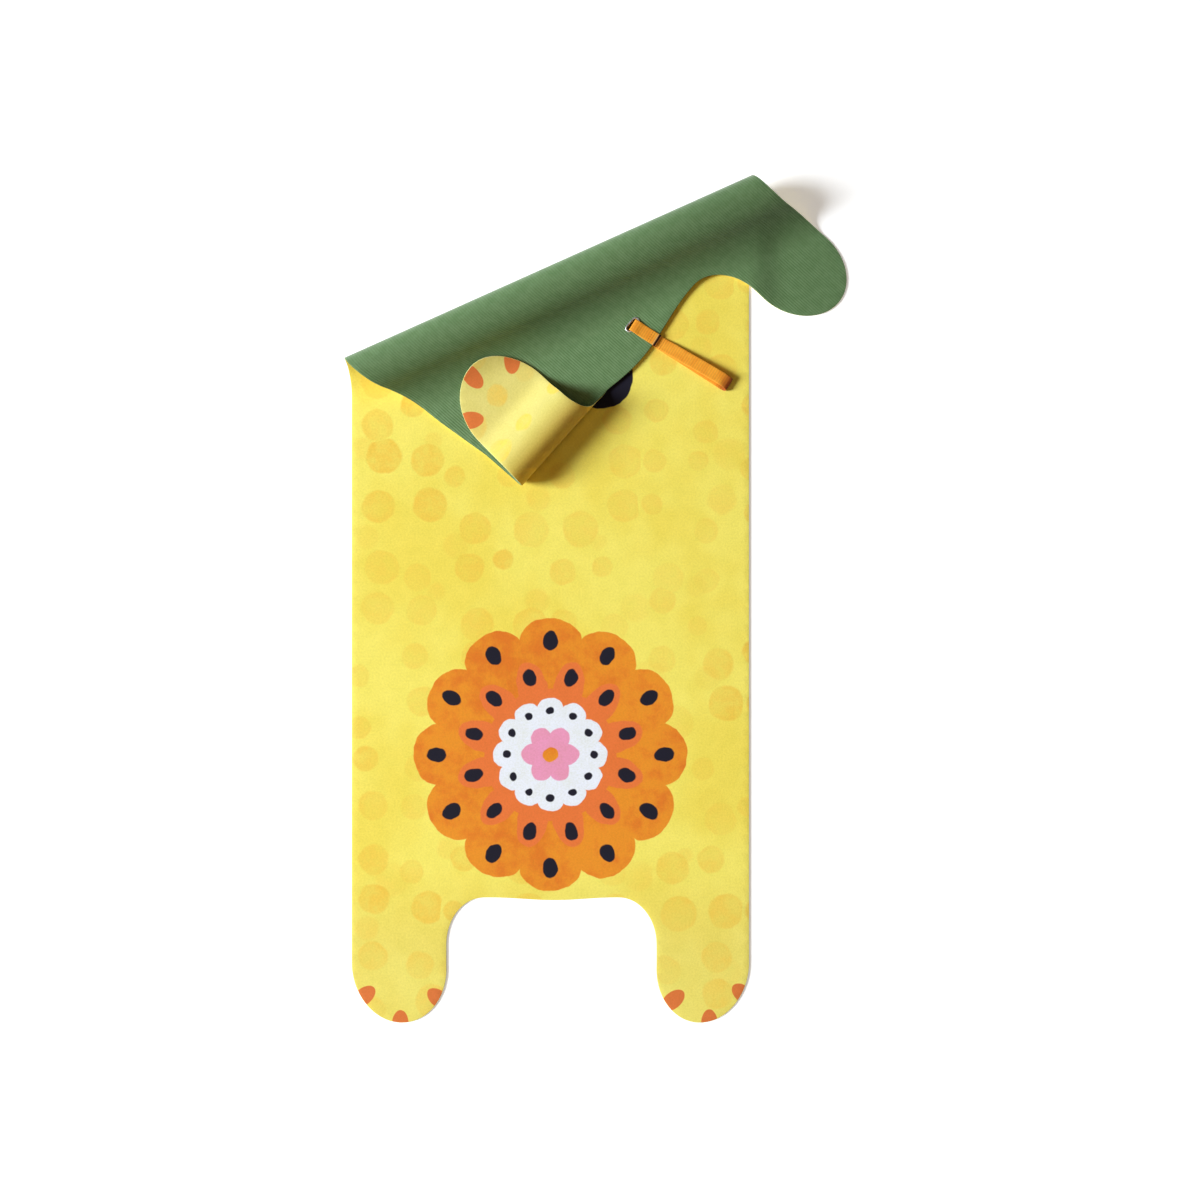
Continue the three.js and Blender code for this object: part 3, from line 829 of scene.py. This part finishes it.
def backMaterial():
    shader = materialShader("rubberBack", Sheen_Weight=0.25, Sheen_Roughness=0.35, Specular_IOR_Level=0.3)
    flat = shader.flat()
    broad = shader.noise(flat, 7.0, 3.0, 0.6)
    fine = shader.noise(flat, 420.0, 3.0, 0.7)
    mottle = shader.noise(flat, 90.0, 3.0, 0.6)
    x = shader.split(flat)[0]
    rib = shader.math("SINE", (x + 0.0006 * broad) * (2 * math.pi / rubber["rib"]))
    colour = shader.mix(shader.between(mottle, 0.3, 0.7), linear(rubber["dark"]), linear(rubber["light"]))
    # the tone also darkens towards the right paw as painted shade
    tone = (0.92 + 0.1 * rib + 0.26 * fine) * shader.between(x, *rubber["rightShade"])
    shader.set("Base Color", shader.mix(1.0, colour, shader.join(tone, tone, tone), "MULTIPLY"))
    shader.set("Roughness", shader.between(fine, 0.2, 0.8, 0.42, 0.6))
    shader.set("Normal", shader.bump(rib * 0.5 + fine * 0.5, 0.00036, 0.65))
    return shader.owner


edgeColours = {
    "clothEdge": {"light": (250, 244, 176), "dark": (240, 226, 130)},
    "rubberEdge": {"light": (100, 130, 88), "dark": (84, 112, 74)},
}


def edgeMaterial(name):
    # Cut edge of one of the mat's two layers, with the cut's own unevenness.
    shader = materialShader(name, Specular_IOR_Level=0.3)
    flat = shader.flat()
    fine = shader.noise(flat, 600.0, 3.0, 0.7)
    wearAndShade = shader.noise(flat, 45.0, 3.0, 0.6)
    light, dark = linear(edgeColours[name]["light"]), linear(edgeColours[name]["dark"])
    shader.set("Base Color", shader.mix(shader.between(fine * 0.5 + wearAndShade * 0.5, 0.35, 0.65), dark, light))
    shader.set("Roughness", shader.between(fine, 0.2, 0.8, 0.75, 0.87))
    shader.set("Normal", shader.bump(fine, 0.0003, 0.5))
    return shader.owner


metal = {"dark": (205, 208, 214), "light": (232, 234, 238), "roughness": (0.38, 0.5)}


def metalMaterial():
    shader = materialShader("polishedMetal", Metallic=1.0, IOR=2.5)
    spot = shader.node("ShaderNodeTexCoord", output=3)
    smudge = shader.node("ShaderNodeTexNoise", None, {"Vector": spot, "Scale": 420.0, "Detail": 3.0})
    scratch = shader.node("ShaderNodeTexNoise", None, {"Vector": spot, "Scale": 2600.0, "Detail": 2.0})
    shader.set("Base Color", shader.mix(smudge, linear(metal["dark"]), linear(metal["light"])))
    shader.set("Roughness", shader.between(smudge, 0.3, 0.7, *metal["roughness"]))
    shader.set("Normal", shader.bump(scratch, 0.00004, 0.4))
    return shader.owner


weave = {
    "dark": (240, 152, 36), "light": (250, 170, 48), "thread": 0.0011,
    "ends": (252, 196, 120), "endsHalf": (0.0042, 0.003),  # the folded ends, out from the seam
    # the gap colour is a painted shadow, the shade in the slit at the seam
    "gap": (52, 20, 6), "seamShadowHalf": (0.0022, 0.0012),
    "stitches": (176, 92, 18), "stitch": 0.0036, "rows": (0.008, 0.0115), "rowHalf": (0.0007, 0.0003),
    "wearAndShade": (158, 66, 8), "bendShadeHalf": (0.022, 0.002),  # painted shade on the far bend, out from it
}


def seamAndBend():
    # How far along the strap the seam and the far bend are, in metres.
    line, run = strapLine()
    fromSeam = np.where(line[:, 1] < strap["seamAbove"], np.inf, np.abs(line[:, 0] - strap["seamOut"]))
    return [float(run[at]) * mm for at in (np.argmin(fromSeam), np.argmax(line[:, 0]))]


def webbingMaterial():
    shader = materialShader("elasticWebbing", Sheen_Weight=0.04, Specular_IOR_Level=0.3)
    flat = shader.flat()
    x, y = shader.split(flat)[:2]
    seamRun, bendRun = seamAndBend()
    rib = shader.math("COSINE", y * (2 * math.pi / (strap["ribs"] * mm)))
    thread = shader.math("SINE", x * (2 * math.pi / weave["thread"]))
    fine = shader.noise(flat, 1500.0, 2.0, 0.6)
    wearAndShade = shader.noise(flat, 60.0, 3.0, 0.6)
    colour = shader.mix(shader.between(wearAndShade, 0.3, 0.7), linear(weave["dark"]), linear(weave["light"]))
    # Painted shadow in the gap at the seam, paler folded ends beside it, two rows of stitches, and painted
    # shade on the far bend
    away = shader.math("ABSOLUTE", y - seamRun)
    colour = shader.mix(shader.between(away, *weave["endsHalf"], 0.0, 0.6), colour, linear(weave["ends"]))
    colour = shader.mix(shader.between(away, *weave["seamShadowHalf"]), colour, linear(weave["gap"]))
    rows = [
        shader.between(shader.math("ABSOLUTE", away - row), *weave["rowHalf"]) for row in weave["rows"]
    ]
    along = shader.math("SINE", x * (2 * math.pi / weave["stitch"]))
    stitch = shader.math("MAXIMUM", *rows) * shader.between(along, -0.3, 0.1)
    colour = shader.mix(stitch * 0.55, colour, linear(weave["stitches"]))
    fromBend = shader.math("ABSOLUTE", y - bendRun)
    colour = shader.mix(shader.between(fromBend, *weave["bendShadeHalf"], 0.0, 0.9), colour, linear(weave["wearAndShade"]))
    tone = 0.87 + 0.04 * thread - 0.08 * rib + 0.16 * fine
    shader.set("Base Color", shader.mix(1.0, colour, shader.join(tone, tone, tone), "MULTIPLY"))
    shader.set("Roughness", shader.between(fine, 0.2, 0.8, 0.55, 0.75))
    shader.set("Normal", shader.bump(thread * rib * 0.4 + fine * 0.4 + stitch * 1.2, 0.0002, 0.7))
    return shader.owner


# Camera, lights and floor

view = {
    "height": 1.6, "frameWide": 1.8136, "clip": (0.05, 50),  # metres
    "across": 74.81, "along": 638.2, "sensor": 36.0,  # millimetres
}
studio = {
    "lights": [
        {"name": "keyLight", "azimuth": 185, "elevation": 25.5, "distance": 14.0, "size": 4.8, "power": 3720,
         "colour": (0.94, 1.0, 1.06)},
        {"name": "topLight", "azimuth": 215, "elevation": 78, "distance": 3.5, "size": 2.0, "power": 18,
         "colour": (1.0, 0.62, 0.24)},
    ],
    "world": (1.0, 0.97, 0.93), "fade": (0.0, 0.3, 0.6, 0.05),  # pale near the horizon and dim above
    "floor": (246, 246, 246), "glow": 0.36, "floorHalf": 40.0,
}


def makeCamera():
    data = bpy.data.cameras.new("camera")
    data.sensor_width = view["sensor"]
    data.lens = view["sensor"] * view["height"] / view["frameWide"]
    data.clip_start, data.clip_end = view["clip"]
    camera = bpy.data.objects.new("camera", data)
    x, y = (view["across"] - sheet["originAcross"]) * mm, (view["along"] - sheet["originAlong"]) * mm
    camera.location = (x, y, view["height"])
    bpy.context.scene.collection.objects.link(camera)
    bpy.context.scene.camera = camera


def makeLight(name, azimuth, elevation, distance, size, power, colour):
    # A square soft light aimed at the origin. Azimuth is counted from +X towards +Y.
    data = bpy.data.lights.new(name, "AREA")
    data.shape, data.size, data.energy, data.color = "SQUARE", size, power, colour
    light = bpy.data.objects.new(name, data)
    turn, rise = math.radians(azimuth), math.radians(elevation)
    away = Vector((math.cos(turn) * math.cos(rise), math.sin(turn) * math.cos(rise), math.sin(rise)))
    light.location = away * distance
    light.rotation_euler = (-away).to_track_quat("-Z", "Y").to_euler()
    bpy.context.scene.collection.objects.link(light)


def makeStudio():
    for light in studio["lights"]:
        makeLight(**light)
    world = Shader(bpy.data.worlds.new("studio"), "BACKGROUND", Color=(*studio["world"], 1.0))
    height = world.split(world.node("ShaderNodeTexCoord"))[2]
    world.set("Strength", world.between(height, *studio["fade"]))
    bpy.context.scene.world = world.owner
    bpy.context.scene.view_settings.view_transform = "Standard"
    shader = materialShader("floorPaint", Specular_IOR_Level=0.2, Emission_Color=(1.0, 1.0, 1.0, 1.0))
    shader.set("Emission Strength", studio["glow"])
    shader.set("Base Color", linear(studio["floor"]))
    shader.set("Roughness", 0.8)
    half = studio["floorHalf"]
    corners = [(-half, -half, 0), (half, -half, 0), (half, half, 0), (-half, half, 0)]
    floor = makeMesh("floor", corners, [(0, 1, 2, 3)], [shader.owner])


makeCamera()
makeStudio()
print("camera and studio made")

face = faceMaterial()
back = backMaterial()
faceEdge = edgeMaterial("clothEdge")
backEdge = edgeMaterial("rubberEdge")
print("materials made")

mat, matFlat, matArea = matPiece([face, back, faceEdge, backEdge])
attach(mat, "root")
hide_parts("mat")
print("mat made, flat size", [round(x, 3) for x in matFlat], "area", round(matArea, 3))

rim = eyeletPiece(metalMaterial())
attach(rim, "root")
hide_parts("eyelet")

loop = strapPiece(webbingMaterial())
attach(loop, "root")
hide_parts("strap")
print("eyelet and strap made")
